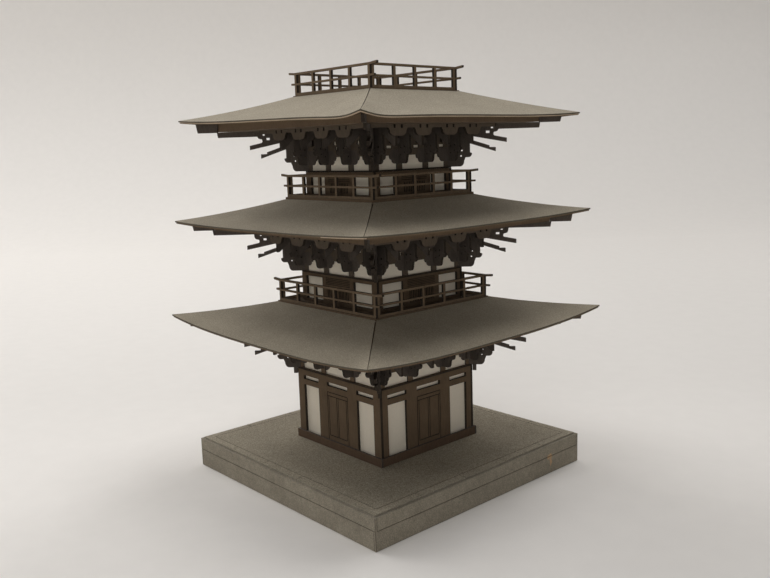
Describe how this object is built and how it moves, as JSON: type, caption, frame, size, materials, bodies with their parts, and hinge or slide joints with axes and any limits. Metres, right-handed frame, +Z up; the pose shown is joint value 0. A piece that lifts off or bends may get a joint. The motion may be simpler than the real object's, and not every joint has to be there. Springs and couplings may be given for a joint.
{
  "type": "card scale model of a square pagoda",
  "caption": "Card scale model of a square tiered pagoda on a stepped base, with bracketed eaves, curved roofs, railed balconies and an open top balcony.",
  "frame": {"origin": "centre of the base's underside, where the model rests on a table", "axes": "+Z up along the tower; the front is the -Y side and +X is to its right, both parallel to the base's edges"},
  "size_m": [0.1106, 0.1106, 0.1439],
  "materials": {
    "grey_card": "matte speckled greenish grey card",
    "brown_card": "matte dark brown card with darker cut edges",
    "dark_card": "matte dark brown card, cut edges nearly black",
    "sill_card": "matte reddish brown card",
    "white_card": "matte off-white card",
    "tan_card": "raw tan card edge"
  },
  "bodies": {
    "root": {"base_floor": "grey_card", "base_lower_course": "grey_card", "base_upper_course": "grey_card", "base_top_plate": "grey_card", "ground_sill": "sill_card", "wall_core_1": "white_card", "wall_frame_1": "brown_card", "bracket_course_1": "dark_card", "eave_underlay_1": "tan_card", "soffit_1": "brown_card", "roof_1_front": "grey_card", "roof_1_right": "grey_card", "roof_1_back": "grey_card", "roof_1_left": "grey_card", "deck_2": "brown_card", "railing_2_front": "brown_card", "railing_2_right": "brown_card", "railing_2_back": "brown_card", "railing_2_left": "brown_card", "wall_core_2": "white_card", "wall_frame_2": "brown_card", "bracket_course_2": "dark_card", "eave_underlay_2": "tan_card", "soffit_2": "brown_card", "roof_2_front": "grey_card", "roof_2_right": "grey_card", "roof_2_back": "grey_card", "roof_2_left": "grey_card", "deck_3": "brown_card", "railing_3_front": "brown_card", "railing_3_right": "brown_card", "railing_3_back": "brown_card", "railing_3_left": "brown_card", "wall_core_3": "white_card", "wall_frame_3": "brown_card", "bracket_course_3": "dark_card", "eave_underlay_3": "tan_card", "soffit_3": "brown_card", "roof_3_front": "grey_card", "roof_3_right": "grey_card", "roof_3_back": "grey_card", "roof_3_left": "grey_card", "deck_4": "brown_card", "railing_4_front": "brown_card", "railing_4_right": "brown_card", "railing_4_back": "brown_card", "railing_4_left": "brown_card"}
  },
  "joints": []
}
